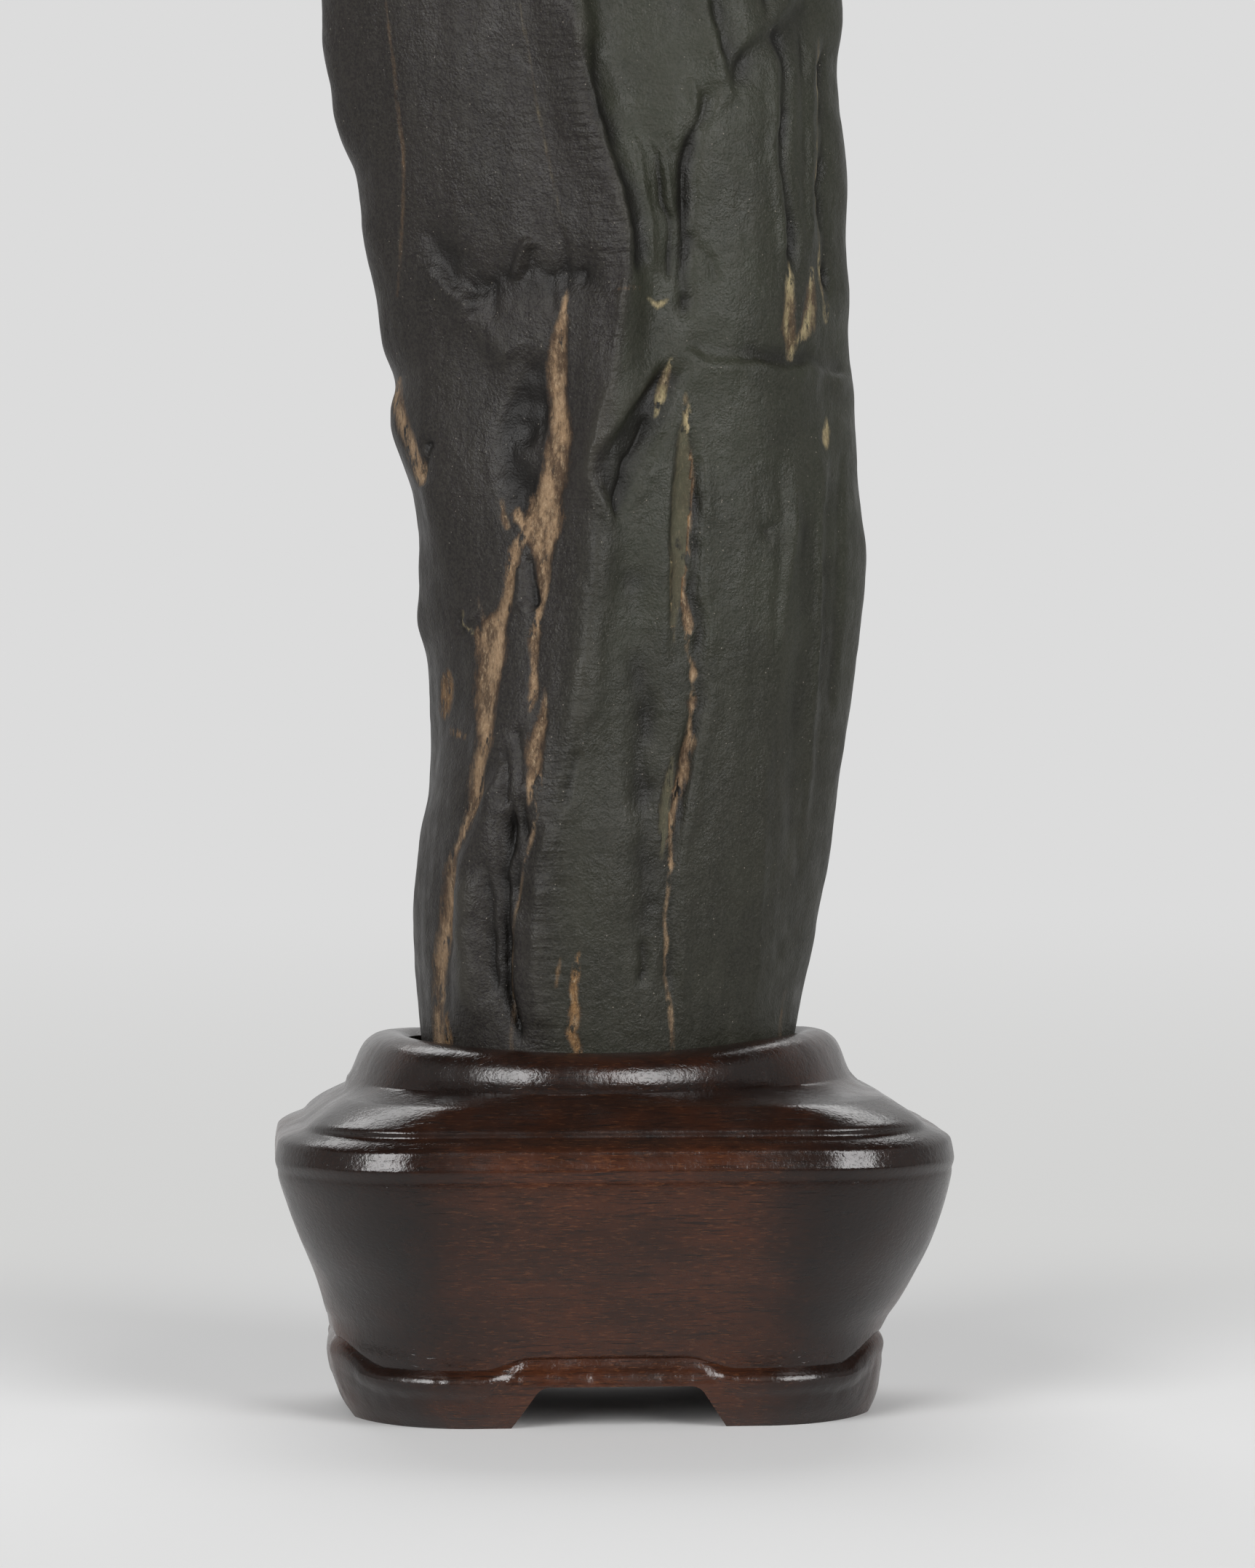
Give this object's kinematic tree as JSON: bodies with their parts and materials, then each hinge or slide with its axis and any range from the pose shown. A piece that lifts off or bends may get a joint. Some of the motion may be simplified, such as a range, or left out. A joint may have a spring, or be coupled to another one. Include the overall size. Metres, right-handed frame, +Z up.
{
  "type": "scholars rock on a wooden stand",
  "caption": "Upright dark veined scholars rock standing in the fitted socket of a carved, lacquered wooden stand with low corner feet.",
  "frame": {"origin": "middle of the stand's underside, on the surface that it stands on", "axes": "+Z up along the stone, the object's front faces -Y, +X to the front's right"},
  "size_m": [0.128, 0.094, 0.373],
  "materials": {
    "stone": "satin",
    "stand_wood": "gloss"
  },
  "bodies": {
    "root": {"stone": "stone", "stand": "stand_wood"}
  },
  "joints": []
}
